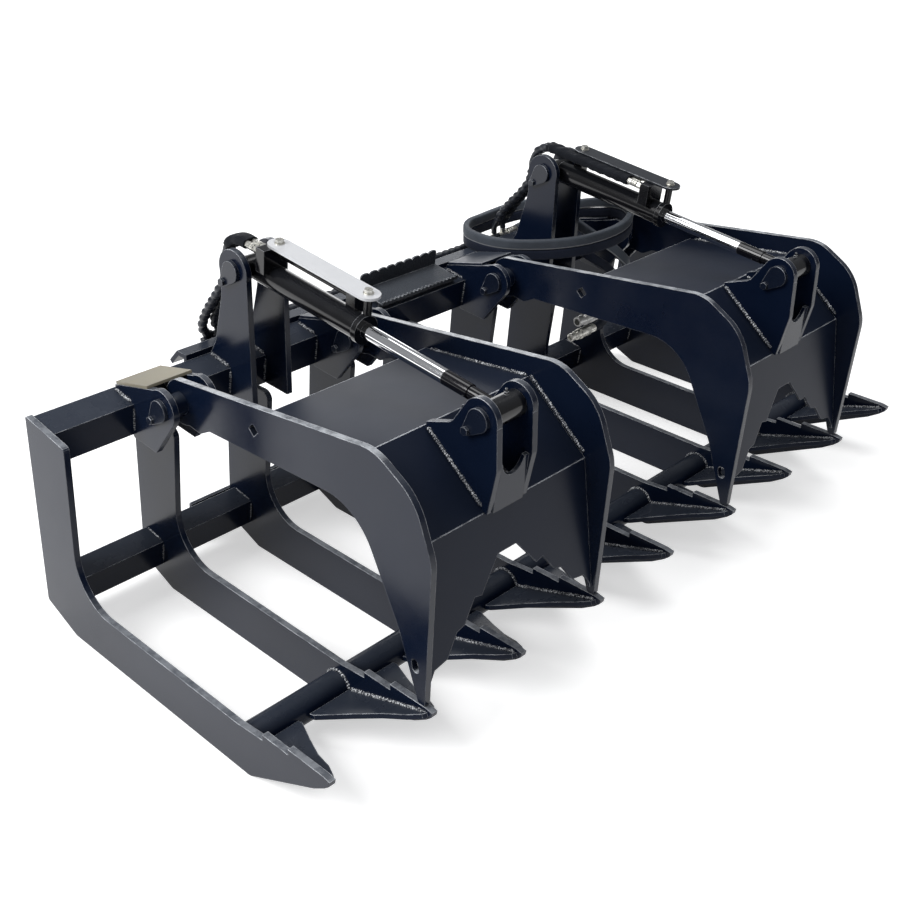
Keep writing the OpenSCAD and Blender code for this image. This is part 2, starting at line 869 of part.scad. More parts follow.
module rod_eye(x) {
    half = ear_half_gap - 2 * side_play;
    color(black) on_datum()
        difference() {
            union() {
                bar_x(eye_c, eye_d, x - half, x + half);
                translate([x + 12, eye_c[0], eye_c[1] + eye_d / 2 - 1]) cylinder(d = 8, h = 5, $fn = 16);
                translate([x + 12, eye_c[0], eye_c[1] + eye_d / 2]) cylinder(d = 5, h = 10, $fn = 16);
            }
            bar_x(eye_c, eye_bore, x - half - 1, x + half + 1);
        }
}

// Hoses

// Round tube through a list of points, with a ring of corners at each point
function ring_dir(p, i) = unit(
    i == 0 ? p[1] - p[0]
    : i == len(p) - 1 ? p[i] - p[i - 1]
    : unit(p[i + 1] - p[i]) + unit(p[i] - p[i - 1])
);
function side_of(d, near) = unit(near - d * (near * d));
function ring_sides(p, i) =
    i == 0
    ? side_of(ring_dir(p, 0), abs(ring_dir(p, 0)[2]) > 0.9 ? [1, 0, 0] : [0, 0, 1])
    : side_of(ring_dir(p, i), ring_sides(p, i - 1));
module swept_tube(p, d, sides = 10) {
    r = d / 2;
    n = len(p);
    rings = [for (i = [0:n - 1])
        let (dir = ring_dir(p, i), u = ring_sides(p, i), v = cross(dir, u))
        for (k = [0:sides - 1]) p[i] + r * (cos(360 * k / sides) * u + sin(360 * k / sides) * v)];
    polyhedron(
        points = rings,
        faces = concat(
            [[for (k = [0:sides - 1]) sides - 1 - k]],
            [for (i = [0:n - 2], k = [0:sides - 1])
                [i * sides + k, i * sides + (k + 1) % sides, (i + 1) * sides + (k + 1) % sides,
                    (i + 1) * sides + k]],
            [[for (k = [0:sides - 1]) (n - 1) * sides + k]]
        )
    );
}

// Tees behind the right tower: line A above, line B below, both along the slope of the hook
slope_down = [cos(hook_bend), -sin(hook_bend)];
line_a = hook_edge + (lead_d / 2 + weld_gap) * [sin(hook_bend), cos(hook_bend)] + 22 * slope_down;
line_b = line_a + (lead_d + 1.5) * slope_down;
tee_d = 15;
tee_half = 15;
tee_up = 18;
tee_x = [lid_x[1] + hose_y[0], lid_x[1] + hose_y[1]];
module tee(x, c) {
    bar_x(c, tee_d, x - tee_half, x + tee_half, 24);
    translate([x, c[0], c[1]]) cylinder(d = tee_d - 2, h = tee_up, $fn = 24);
}
module hose_tees() {
    color(zinc) on_datum() {
        tee(tee_x[0], line_b);
        tee(tee_x[1], line_a);
    }
}

// Start of a hose over a tower, inside the sleeve, down to the tower's rear
function over_tower(x) = [
    for (turn = [52, 42, 32, 22, 12, 2, -4])
        [x, tower_c[0] + hose_bend_r * cos(turn), tower_c[1] + hose_bend_r * sin(turn)]
];
// Hose points are [X offset, Y, height over the tines' top corner]
function over_back(x, list) = [for (q = list) [x + q[0], q[1], back_height + q[2]]];
function at_line(x, c) = [x, c[0], c[1]];
down_a = [[0, -46, 167], [0, -24, 131], [0, 4, 99], [0, 28, 67], [0, 44, 40]];
down_b = [[0, -46, 167], [0, -22, 131], [0, 11, 97], [0, 40, 61], [0, 58, 31]];
left_a = [[0, -46, 167], [0, -26, 131], [0, 0, 97], [1, 22, 67], [6, 38, 39], [22, 47, 16], [48, 50, 3]];
left_b = [[0, -46, 167], [0, -24, 131], [0, 6, 95], [1, 34, 59], [6, 54, 27], [22, 64, 4], [48, 65, -11]];
// A hose down onto the branch of its tee
function to_branch(x, down, c) = concat(
    over_tower(x), over_back(x, down),
    [[x, c[0], c[1] + tee_up + 12], [x, c[0], c[1] + tee_up + weld_gap]]
);
// A hose down and across into the end of its tee
function to_end(x, down, tee_at, c) = concat(
    over_tower(x), over_back(x, down), [at_line(x + 80, c), at_line(tee_at - tee_half - weld_gap, c)]
);

module cylinder_hoses() {
    color(rubber) on_datum() {
        swept_tube(to_branch(tee_x[1], down_a, line_a), hose_d);
        swept_tube(to_branch(tee_x[0], down_b, line_b), hose_d);
        swept_tube(to_end(lid_x[0] + hose_y[1], left_a, tee_x[1], line_a), hose_d);
        swept_tube(to_end(lid_x[0] + hose_y[0], left_b, tee_x[0], line_b), hose_d);
    }
}

// Ends of the two lead hoses at their couplers
coupler_a = [574, -183, back_height - 181];
coupler_b = [578, -160, back_height - 233];
// Routes of the two lead hoses: one ring round the right tower, then down to the couplers
ring_a = [
    [516, 49, 3], [562, 34, 18], [604, 2, 39], [634, -44, 59], [651, -94, 72], [654, -140, 80], [644, -186, 83],
    [620, -218, 77], [580, -234, 67], [530, -231, 57], [462, -208, 48], [402, -170, 43], [354, -130, 42],
    [318, -90, 42], [300, -46, 42], [297, -4, 42], [305, 36, 42], [329, 66, 42], [363, 84, 42], [404, 88, 42],
    [446, 88, 44],
    [496, 78, 50], [534, 50, 59], [553, 6, 67], [558, -44, 62], [563, -92, 39], [580, -142, 11],
    [608, -180, -17], [636, -197, -49], [655, -194, -77], [660, -188, -103], [654, -184, -132],
    [637, -183, -158], [611, -183, -175]
];
ring_b = [
    [520, 64, -11], [568, 52, 3], [608, 10, 18], [636, -42, 34], [652, -94, 45], [654, -140, 55],
    [644, -186, 57], [620, -218, 51], [580, -234, 41], [530, -231, 31], [462, -208, 23], [402, -170, 18],
    [354, -130, 17], [318, -90, 18], [300, -46, 20], [297, -4, 20], [305, 36, 20], [329, 66, 20],
    [363, 84, 19], [404, 88, 18], [446, 88, 19], [496, 78, 25], [534, 50, 34], [553, 6, 41], [549, -44, 33],
    [543, -88, 7], [550, -123, -21], [571, -147, -43], [603, -160, -67], [636, -164, -98], [654, -163, -121],
    [662, -161, -148], [660, -160, -175], [645, -160, -205], [618, -160, -226]
];
// A lead hose starts and ends in a short straight run
function lead_route(tee_at, c, ring, end) = concat(
    [at_line(tee_at + tee_half + weld_gap, c), at_line(tee_at + 2 * tee_half, c)],
    over_back(0, ring),
    [end + [14, 0, 0], end + [weld_gap, 0, 0]]
);
lead_route_a = lead_route(tee_x[1], line_a, ring_a, coupler_a);
lead_route_b = lead_route(tee_x[0], line_b, ring_b, coupler_b);
module lead_hose(route) {
    color(rubber) on_datum() swept_tube(route, lead_d, 8);
}

// Quick couplers on the ends of the lead hoses, pointing to -X
module coupler(at, sleeve_d, nose_d) {
    c = [at[1], at[2]];
    bar_x(c, lead_d + 2, at[0] - 20, at[0], 24);
    bar_x(c, sleeve_d - 2, at[0] - 34, at[0] - 20 + eps, 6);
    bar_x(c, sleeve_d, at[0] - 74, at[0] - 34 + eps, 40);
    bar_x(c, nose_d, at[0] - 96, at[0] - 74 + eps, 32);
}
module couplers() {
    color(zinc) on_datum() {
        coupler(coupler_a, 30, 24);
        coupler(coupler_b, 28, 20);
    }
}

// Drawing

tine(0);  // tine_1
tine(1);  // tine_2
tine(2);  // tine_3
tine(3);  // tine_4
tine(4);  // tine_5
tine(5);  // tine_6
tine(6);  // tine_7
tine(7);  // tine_8
tine(8);  // tine_9
tooth_wings();
square_tube(upper_corner, upper_tube_w);  // upper_tube
square_tube(lower_corner, lower_tube_w);  // lower_tube
front_pipe();
hinge_ears();
bracket_covers();
towers();
hitch_top();
hitch_sill();
foot_step();
frame_pins();
frame_pin_bolts();
lid_side(lid_x[0] - tine_pitch);  // lid_left_outer_side
lid_side(lid_x[0] + tine_pitch);  // lid_left_inner_side
lid_cover(lid_x[0]);  // lid_left_cover
lid_ears(lid_x[0]);  // lid_left_ears
lid_hinge_tubes(0);  // lid_left_hinge_tubes
lid_pin(lid_x[0]);  // lid_left_pin
lid_pin_bolt(lid_x[0]);  // lid_left_pin_bolt
lid_side(lid_x[1] - tine_pitch);  // lid_right_inner_side
lid_side(lid_x[1] + tine_pitch);  // lid_right_outer_side
lid_cover(lid_x[1]);  // lid_right_cover
lid_ears(lid_x[1]);  // lid_right_ears
lid_hinge_tubes(1);  // lid_right_hinge_tubes
lid_pin(lid_x[1]);  // lid_right_pin
lid_pin_bolt(lid_x[1]);  // lid_right_pin_bolt
barrel(lid_x[0]);  // barrel_left
gland(lid_x[0]);  // gland_left
rear_eye(lid_x[0]);  // rear_eye_left
ports(lid_x[0], false);  // ports_left
guard(lid_x[0]);  // guard_left
guard_bolts(lid_x[0]);  // guard_bolts_left
barrel(lid_x[1]);  // barrel_right
gland(lid_x[1]);  // gland_right
rear_eye(lid_x[1]);  // rear_eye_right
ports(lid_x[1], true);  // ports_right
guard(lid_x[1]);  // guard_right
guard_bolts(lid_x[1]);  // guard_bolts_right
rod(lid_x[0]);  // rod_left
piston(lid_x[0]);  // piston_left
rod_eye(lid_x[0]);  // rod_eye_left
rod(lid_x[1]);  // rod_right
piston(lid_x[1]);  // piston_right
rod_eye(lid_x[1]);  // rod_eye_right
hose_sleeve(lid_x[0], short_sleeve);  // sleeve_left
hose_sleeve(lid_x[1], long_sleeve);  // sleeve_right
cylinder_hoses();
hose_tees();
lead_hose(lead_route_a);  // lead_hose_a
lead_hose(lead_route_b);  // lead_hose_b
couplers();
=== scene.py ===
import itertools
import math
import random

import bmesh
import bpy
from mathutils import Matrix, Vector


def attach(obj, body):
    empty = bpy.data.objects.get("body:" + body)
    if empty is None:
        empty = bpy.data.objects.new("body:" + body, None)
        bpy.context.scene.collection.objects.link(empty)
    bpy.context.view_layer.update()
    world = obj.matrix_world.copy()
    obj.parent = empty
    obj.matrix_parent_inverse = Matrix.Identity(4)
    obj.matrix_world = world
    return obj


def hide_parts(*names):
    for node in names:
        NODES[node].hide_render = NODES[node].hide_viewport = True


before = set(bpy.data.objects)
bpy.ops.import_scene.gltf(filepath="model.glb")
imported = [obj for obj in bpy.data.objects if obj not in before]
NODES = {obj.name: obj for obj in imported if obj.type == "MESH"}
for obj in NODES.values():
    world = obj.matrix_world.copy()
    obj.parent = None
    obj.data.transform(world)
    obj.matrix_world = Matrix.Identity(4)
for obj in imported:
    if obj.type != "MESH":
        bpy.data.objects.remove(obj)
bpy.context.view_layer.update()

# Sizes shared with part.scad, in millimetres. Pairs are y and z.
BACK = 473.0
LIDS = {"left": -457.2, "right": 457.2}
TOWER = (-107.0, 674.0)
BEND_R = 56.0
HOSE_Y = (-26.0, -10.5)
TILT_COS, TILT_SIN = 0.99294, 0.11861
PITCH, TINE_HALF, EAR_HALF_GAP, EAR_T = 228.6, 6.35, 38.0, 12.7
UPPER_CORNER, LOWER_CORNER = (-5.0, 469.5), (14.0, 121.0)
UPPER_W, LOWER_W = 70, 60
TUBE_TILT = math.radians(9.8)
PIPE_Y, PIPE_Z, PIPE_R = -592.0, 52.5, 30.15

# In metres: part.scad's zero of y, the hoses, where the rod's chrome ends along the cylinder,
# and the width that once around a tube has in its UVs
DATUM_Y = 0.3667367
HOSE_R = 0.00725
NECK = 0.528
AROUND = 0.07


def at(x, y, z):
    """A point of part.scad in the frame, in metres."""
    return Vector((x / 1000, y / 1000 + DATUM_Y, z / 1000))


def mm(*pairs):
    return [(d / 1000, r / 1000) for d, r in pairs]


def add_object(name, data):
    made = bpy.data.objects.new(name, data)
    bpy.context.scene.collection.objects.link(made)
    return made


# Camera, fitted on points of the photograph
SENSOR_MM, FOCAL_PIXELS, IMAGE_PIXELS = 36.0, 1255.51, 900
camera_data = bpy.data.cameras.new("camera")
camera_data.sensor_width = SENSOR_MM
camera_data.lens = SENSOR_MM * FOCAL_PIXELS / IMAGE_PIXELS
camera = add_object("camera", camera_data)
camera.location = (-1.85056, -1.61990, 1.55357)
camera.rotation_euler = [math.radians(a) for a in (60.82085, -0.48566, -45.77039)]
bpy.context.scene.camera = camera


# Shader helpers
class Graph:
    """A node tree, with short ways to add nodes. Noise scales are per metre of the object."""

    def __init__(self, owner):
        self.tree = owner.node_tree
        self.coords = self.node("ShaderNodeTexCoord").outputs["Object"]

    def node(self, kind, **settings):
        made = self.tree.nodes.new(kind)
        for key, value in settings.items():
            setattr(made, key, value)
        return made

    def link(self, a, b):
        self.tree.links.new(a, b)

    def feed(self, socket, value):
        """Links an output to a socket, or sets the socket's own value."""
        if isinstance(value, bpy.types.NodeSocket):
            self.link(value, socket)
        else:
            socket.default_value = value

    def noise(self, scale, detail=4.0, rough=0.55):
        n = self.node("ShaderNodeTexNoise")
        n.inputs["Scale"].default_value = scale
        n.inputs["Detail"].default_value = detail
        n.inputs["Roughness"].default_value = rough
        self.link(self.coords, n.inputs["Vector"])
        return n.outputs["Fac"]

    def between(self, value, low, high, a=0.0, b=1.0):
        """The value's range low to high, mapped to a to b and clamped."""
        m = self.node("ShaderNodeMapRange")
        m.inputs["From Min"].default_value = low
        m.inputs["From Max"].default_value = high
        m.inputs["To Min"].default_value = a
        m.inputs["To Max"].default_value = b
        self.link(value, m.inputs["Value"])
        return m.outputs["Result"]

    def math(self, kind, a, b=None):
        m = self.node("ShaderNodeMath", operation=kind)
        self.feed(m.inputs[0], a)
        if b is not None:
            self.feed(m.inputs[1], b)
        return m.outputs["Value"]

    def times(self, a, b):
        return self.math("MULTIPLY", a, b)

    def vector_math(self, kind, a, b=None):
        m = self.node("ShaderNodeVectorMath", operation=kind)
        self.feed(m.inputs[0], a)
        if b is not None:
            self.feed(m.inputs[1], b)
        return m.outputs["Value"]

    def split(self, vector):
        """The X, Y and Z outputs of a vector."""
        s = self.node("ShaderNodeSeparateXYZ")
        self.link(vector, s.inputs["Vector"])
        return s.outputs

    def mix(self, factor, a, b):
        m = self.node("ShaderNodeMix", data_type="RGBA")
        self.feed(m.inputs["Factor"], factor)
        for socket, colour in ((m.inputs["A"], a), (m.inputs["B"], b)):
            self.feed(socket, (*colour, 1) if isinstance(colour, tuple) else colour)
        return m.outputs["Result"]

    def bump(self, shader, height, strength, distance, below=None):
        b = self.node("ShaderNodeBump")
        b.inputs["Strength"].default_value = strength
        b.inputs["Distance"].default_value = distance
        self.link(height, b.inputs["Height"])
        if below is not None:
            self.link(below, b.inputs["Normal"])
        self.link(b.outputs["Normal"], shader.inputs["Normal"])
        return b.outputs["Normal"]

    def cover(self, shader, share, colour):
        """Mixes a colour over the one that the shader has."""
        below = shader.inputs["Base Color"].links[0].from_socket
        self.link(self.mix(share, below, colour), shader.inputs["Base Color"])


def emptied(owner):
    """The graph of a material or world, without the nodes that come with it."""
    owner.use_nodes = True
    owner.node_tree.nodes.clear()
    return Graph(owner)


def new_material(name):
    material = bpy.data.materials.new(name)
    g = emptied(material)
    out = g.node("ShaderNodeOutputMaterial")
    shader = g.node("ShaderNodeBsdfPrincipled")
    g.link(shader.outputs["BSDF"], out.inputs["Surface"])
    return material, g, shader


def reopened(material):
    """The graph and the shader of a material made before."""
    g = Graph(material)
    return g, next(n for n in g.tree.nodes if n.type == "BSDF_PRINCIPLED")


# Paint
NAVY = (0.0028, 0.0062, 0.0185)
NAVY_LIGHT = (0.0052, 0.0100, 0.0245)
# The two pale greys below are painted highlights: on the upward rims of plates and on arrises
RIM_HIGHLIGHT = (0.40, 0.42, 0.45)
ARRIS_HIGHLIGHT = (0.80, 0.83, 0.88)
DUST = (0.080, 0.090, 0.106)
SCUFFS = 0.16
DUST_ROUGHNESS = 0.08
PEEL_SCALE, PEEL, PEEL_DEPTH = 420.0, 0.08, 0.0005
GRIT_SCALE, GRIT, GRIT_DEPTH = 260.0, 0.8, 0.0022


def paint(name, base, light, rough=(0.16, 0.24), specular=0.29, rims=0.0, arris=1.0, grit=False,
          dusty=0.42, arris_radius=0.0021):
    """Powder coat: two shades, orange peel, scuffs, dust on upward faces, and painted highlights
    on arrises and upward rims.

    rims is how white the painted highlight on the upward rims of plates gets, arris how bright the
    painted highlight on the arrises is, dusty the share of dust, arris_radius an arris's width in
    metres, and grit adds the grains of a tread.
    """
    material, g, shader = new_material(name)
    colour = g.mix(g.between(g.noise(3.0, 6.0), 0.35, 0.7), base, light)
    scuffs = g.between(g.noise(60.0, 8.0, 0.75), 0.68, 0.76)
    scuffed = tuple(min(1.0, c * 2.0 + 0.02) for c in light)
    colour = g.mix(g.times(scuffs, SCUFFS), colour, scuffed)

    normal = g.node("ShaderNodeNewGeometry").outputs["Normal"]
    facing = g.split(normal)
    up = g.between(facing["Z"], 0.45, 0.95)
    dust = g.times(up, g.between(g.noise(16.0, 6.0, 0.65), 0.3, 0.75, 0.7, 1.0))
    colour = g.mix(g.times(dust, dusty), colour, DUST)
    # Painted highlight on the upward rims of plates: a mix towards pale grey, broken up in patches
    if rims:
        lengthwise = g.between(g.math("ABSOLUTE", facing["X"]), 0.35, 0.6, 1.0, 0.0)
        rim = g.times(lengthwise, g.between(facing["Z"], 0.88, 0.985))
        patchy = g.between(g.noise(34.0, 7.0, 0.7), 0.4, 0.58, 0.35, 1.0)
        colour = g.mix(g.times(g.times(rim, patchy), rims), colour, RIM_HIGHLIGHT)

    # An arris is where the bevelled normal turns away from the face's own. Arrises get a painted
    # highlight: a mix towards pale grey-white, brighter where they face up.
    bevel = g.node("ShaderNodeBevel", samples=4)
    bevel.inputs["Radius"].default_value = arris_radius
    rounded = bevel.outputs["Normal"]
    edge = g.between(g.vector_math("DOT_PRODUCT", rounded, normal), 0.992, 0.93)
    lit = g.between(g.split(rounded)["Z"], -0.1, 0.7, 0.12, 1.0)
    broken = g.between(g.noise(24.0, 8.0, 0.75), 0.42, 0.56, 0.22, 1.0)
    edge = g.times(g.times(edge, lit), g.times(broken, arris))
    g.link(g.mix(edge, colour, ARRIS_HIGHLIGHT), shader.inputs["Base Color"])

    roughness = g.between(g.noise(18.0, 5.0), 0.3, 0.7, *rough)
    roughness = g.math("ADD", roughness, g.times(dust, DUST_ROUGHNESS))
    g.link(roughness, shader.inputs["Roughness"])
    shader.inputs["Specular IOR Level"].default_value = specular
    peeled = g.bump(shader, g.noise(PEEL_SCALE, 2.0, 0.5), PEEL, PEEL_DEPTH, rounded)
    if grit:
        grains = g.node("ShaderNodeTexVoronoi")
        grains.inputs["Scale"].default_value = GRIT_SCALE
        g.link(g.coords, grains.inputs["Vector"])
        height = g.between(grains.outputs["Distance"], 0.0, 0.5, 1.0, 0.0)
        g.bump(shader, height, GRIT, GRIT_DEPTH, peeled)
    return material


def clay_covered():
    """Bracket covers: the same coat, with a film of dried clay on the first one."""
    material = paint("bracket_paint", NAVY, NAVY_LIGHT, rough=(0.3, 0.36))
    g, shader = reopened(material)
    first = g.between(g.split(g.coords)["X"], -0.60, -0.56, 1.0, 0.0)
    film = g.times(first, g.between(g.noise(9.0, 6.0, 0.6), 0.2, 0.6, 0.75, 1.0))
    g.cover(shader, film, (0.27, 0.245, 0.185))
    return material


def bead_material():
    """Weld bead under powder coat: dark and glossy, with painted highlights in broken pale specks,
    strongest on its upward faces.
    """
    material, g, shader = new_material("bead_paint")
    # Painted highlights: pale specks in broken stretches, stronger on faces that look up
    specks = g.between(g.noise(330.0, 5.0, 0.7), 0.50, 0.56)
    stretches = g.between(g.noise(22.0, 5.0, 0.6), 0.36, 0.56, 0.25, 1.0)
    facing = g.split(g.node("ShaderNodeNewGeometry").outputs["Normal"])
    lit = g.between(facing["Z"], -0.3, 0.5, 0.1, 1.0)
    light = g.times(g.times(specks, stretches), lit)
    g.link(g.mix(light, (0.012, 0.016, 0.026), (0.78, 0.80, 0.83)), shader.inputs["Base Color"])
    g.link(g.between(g.noise(90.0, 3.0), 0.3, 0.7, 0.12, 0.24), shader.inputs["Roughness"])
    shader.inputs["Specular IOR Level"].default_value = 0.6
    g.bump(shader, g.noise(520.0, 4.0, 0.6), 0.9, 0.0016)
    return material


frame_paint = paint("frame_paint", NAVY, NAVY_LIGHT, specular=0.12)
plate_paint = paint("plate_paint", NAVY, NAVY_LIGHT, specular=0.26, rims=0.15)
tine_paint = paint("tine_paint", NAVY, NAVY_LIGHT, specular=0.21, rims=0.45)
side_paint = paint("side_paint", NAVY, NAVY_LIGHT, rims=0.95)
# The cover gets a stronger, wider painted highlight along its arrises and folds
cover_paint = paint("cover_paint", NAVY, NAVY_LIGHT, rough=(0.30, 0.33), specular=0.13, arris=1.9,
                    dusty=0.12, arris_radius=0.0032)
tread_paint = paint("tread_paint", (0.02, 0.024, 0.032), (0.045, 0.05, 0.06), rough=(0.35, 0.5),
                    grit=True)
black_paint = paint("black_paint", (0.003, 0.003, 0.004), (0.006, 0.006, 0.008), rough=(0.1, 0.15),
                    specular=0.45, arris=0.5, dusty=0.1)
guard_dark = paint("guard_dark", (0.008, 0.010, 0.014), (0.016, 0.019, 0.025), rough=(0.22, 0.32),
                   dusty=0.2)
pin_paint = paint("pin_paint", (0.005, 0.008, 0.018), (0.012, 0.017, 0.03), rough=(0.16, 0.28),
                  specular=0.4)
bracket_paint = clay_covered()
bead_paint = bead_material()

# Metals
GRAIN_SCALE, GRAIN_DEPTH = 900.0, 0.0004
GRIME_ROUGHNESS = 0.12
NECK_EDGE = 0.0005


def metal(name, base, dark, rough, metallic=1.0, grime=0.4, grain_bump=0.15):
    """Bare or plated metal with a fine grain, and grime in patches."""
    material, g, shader = new_material(name)
    patches = g.between(g.noise(26.0, 7.0, 0.65), 0.45, 0.72)
    g.link(g.mix(g.times(patches, grime), base, dark), shader.inputs["Base Color"])
    shader.inputs["Metallic"].default_value = metallic
    grain = g.noise(GRAIN_SCALE, 3.0, 0.5)
    polish = g.between(grain, 0.3, 0.7, *rough)
    roughness = g.math("ADD", polish, g.times(patches, GRIME_ROUGHNESS * grime))
    g.link(roughness, shader.inputs["Roughness"])
    if grain_bump:
        g.bump(shader, grain, grain_bump, GRAIN_DEPTH)
    return material


def blacken_neck(material, start):
    """Black paint on the rod's end, from start metres along the cylinder from the tower pin."""
    g, shader = reopened(material)
    along = g.vector_math("DOT_PRODUCT", g.coords, (0.0, -TILT_COS, -TILT_SIN))
    pin = -TILT_COS * (TOWER[0] / 1000 + DATUM_Y) - TILT_SIN * TOWER[1] / 1000
    painted = g.between(along, pin + start, pin + start + NECK_EDGE)
    g.cover(shader, painted, (0.004, 0.004, 0.006))
    g.link(g.math("SUBTRACT", 1.0, painted), shader.inputs["Metallic"])


chrome = metal("chrome", (0.80, 0.81, 0.83), (0.66, 0.67, 0.70), (0.05, 0.09), grime=0.1,
               grain_bump=0.0)
blacken_neck(chrome, NECK)
zinc = metal("zinc", (0.72, 0.71, 0.66), (0.38, 0.36, 0.3), (0.2, 0.38))
socket_zinc = metal("socket_zinc", (0.50, 0.50, 0.49), (0.20, 0.20, 0.20), (0.25, 0.42), grime=0.7)
# Left guard plate: pale and half metallic, a painted reflection of glare on the dark plate that
# guard_dark gives the right one
guard_painted_glare = metal("guard_painted_glare", (0.66, 0.67, 0.69), (0.52, 0.53, 0.55), (0.42, 0.55),
                   metallic=0.4, grime=0.25, grain_bump=0.05)


# Rubber and fabric
def rubber_material():
    material, g, shader = new_material("wrap_rubber")
    patches = g.between(g.noise(60.0, 6.0, 0.7), 0.4, 0.7)
    colour = g.mix(patches, (0.006, 0.008, 0.014), (0.02, 0.024, 0.034))
    g.link(colour, shader.inputs["Base Color"])
    g.link(g.between(g.noise(120.0, 4.0), 0.3, 0.7, 0.3, 0.5), shader.inputs["Roughness"])
    g.bump(shader, g.noise(700.0, 3.0), 0.2, 0.0005)
    return material


THREAD_SCALE = 120.0
WEAVE_DEPTH = 0.0008
HEM_COLOUR = (0.30, 0.31, 0.33)


def fabric_material(name, base, light, sheen=0.08, hem=False):
    """Woven nylon: crossed threads on the piece's own UVs. A hem is a pale line on each side."""
    material, g, shader = new_material(name)
    uv = g.node("ShaderNodeUVMap", uv_map="UVMap").outputs["UV"]
    threads = []
    for direction in ("X", "Y"):
        wave = g.node("ShaderNodeTexWave", wave_type="BANDS", bands_direction=direction)
        wave.inputs["Scale"].default_value = THREAD_SCALE
        wave.inputs["Distortion"].default_value = 0.6
        wave.inputs["Detail"].default_value = 2.0
        g.link(uv, wave.inputs["Vector"])
        threads.append(wave.outputs["Fac"])
    height = g.times(*threads)
    patchy = g.between(g.noise(14.0, 6.0, 0.6), 0.35, 0.7)
    colour = g.mix(g.times(patchy, 0.8), base, light)
    colour = g.mix(g.times(height, 0.35), colour, tuple(c * 1.6 for c in light))
    if hem:
        turned = g.math("SUBTRACT", g.split(uv)["X"], 0.5 * AROUND)
        from_middle = g.math("ABSOLUTE", turned)
        inner = g.between(from_middle, 0.120 * AROUND, 0.125 * AROUND)
        outer = g.between(from_middle, 0.155 * AROUND, 0.160 * AROUND, 1.0, 0.0)
        colour = g.mix(g.times(g.times(inner, outer), 0.8), colour, HEM_COLOUR)
    g.link(colour, shader.inputs["Base Color"])
    g.link(g.between(height, 0.0, 1.0, 0.75, 0.5), shader.inputs["Roughness"])
    shader.inputs["Specular IOR Level"].default_value = 0.12
    shader.inputs["Sheen Weight"].default_value = sheen
    shader.inputs["Sheen Roughness"].default_value = 0.5
    g.bump(shader, height, 0.5, WEAVE_DEPTH)
    return material


wrap_rubber = rubber_material()
# The lead hoses' sleeves are lit and shaded copies of one fabric: the upper one lighter with
# painted light, the lower one near black with painted shade
sleeve_fabric = fabric_material("sleeve_fabric", (0.045, 0.052, 0.064), (0.075, 0.086, 0.104),
                                hem=True)
painted_shade_fabric = fabric_material("painted_shade_fabric", (0.005, 0.008, 0.018), (0.012, 0.016, 0.030))
tower_fabric = fabric_material("tower_fabric", (0.004, 0.005, 0.008), (0.010, 0.012, 0.017),
                               sheen=0.04)


# Materials of the CAD nodes
def dress(material, *nodes):
    for node in nodes:
        mesh = NODES[node].data
        mesh.materials.clear()
        mesh.materials.append(material)


dress(frame_paint, "upper_tube", "lower_tube", "front_pipe", "tooth_wings", "hitch_top",
      "hitch_sill")
dress(plate_paint, "hinge_ears", "towers")
dress(bracket_paint, "bracket_covers")
dress(tine_paint, *(f"tine_{i}" for i in range(1, 10)))
dress(tread_paint, "foot_step")
dress(pin_paint, "frame_pins", "frame_pin_bolts")
dress(zinc, "hose_tees", "couplers")
dress(wrap_rubber, "cylinder_hoses")
dress(sleeve_fabric, "lead_hose_a")
dress(painted_shade_fabric, "lead_hose_b")
for side in LIDS:
    dress(side_paint, f"lid_{side}_outer_side", f"lid_{side}_inner_side")
    dress(plate_paint, f"lid_{side}_ears")
    dress(cover_paint, f"lid_{side}_cover")
    dress(frame_paint, f"lid_{side}_hinge_tubes")
    dress(pin_paint, f"lid_{side}_pin", f"lid_{side}_pin_bolt")
    dress(black_paint, f"barrel_{side}", f"gland_{side}", f"rear_eye_{side}", f"ports_{side}",
          f"rod_eye_{side}")
    # The left guard gets the pale plate with the painted glare, the right one its dark paint
    dress(guard_painted_glare if side == "left" else guard_dark, f"guard_{side}")
    dress(zinc, f"guard_bolts_{side}", f"piston_{side}")
    dress(tower_fabric, f"sleeve_{side}")
    dress(chrome, f"rod_{side}")

# Geometry helpers
FINE = 12


def length_of(line):
    return sum((q - p).length for p, q in zip(line, line[1:]))


def smooth_line(points, step):
    """Catmull-Rom through the points, resampled at an even step in metres."""
    points = [Vector(p) for p in points]
    ends = [points[0] * 2 - points[1], *points, points[-1] * 2 - points[-2]]
    fine = []
    for i in range(1, len(ends) - 2):
        a, b, c, d = ends[i - 1:i + 3]
        for k in range(FINE):
            t = k / FINE
            fine.append(0.5 * ((2 * b) + (c - a) * t + (2 * a - 5 * b + 4 * c - d) * t * t
                               + (3 * b - a - 3 * c + d) * t ** 3))
    fine.append(points[-1])
    lengths = [0.0]
    for a, b in zip(fine, fine[1:]):
        lengths.append(lengths[-1] + (b - a).length)
    count = max(2, round(lengths[-1] / step))
    even, j = [], 0
    for k in range(count + 1):
        goal = lengths[-1] * k / count
        while j < len(fine) - 2 and lengths[j + 1] < goal:
            j += 1
        span = max(lengths[j + 1] - lengths[j], 1e-9)
        even.append(fine[j].lerp(fine[j + 1], min(1.0, (goal - lengths[j]) / span)))
    return even


def square_to(direction, guide=None):
    """Two unit vectors square to a direction, the first towards the guide."""
    if guide is None or abs(guide.dot(direction)) > 0.98:
        guide = Vector((0, 0, 1)) if abs(direction.z) < 0.9 else Vector((1, 0, 0))
    side = (guide - direction * guide.dot(direction)).normalized()
    return side, direction.cross(side)


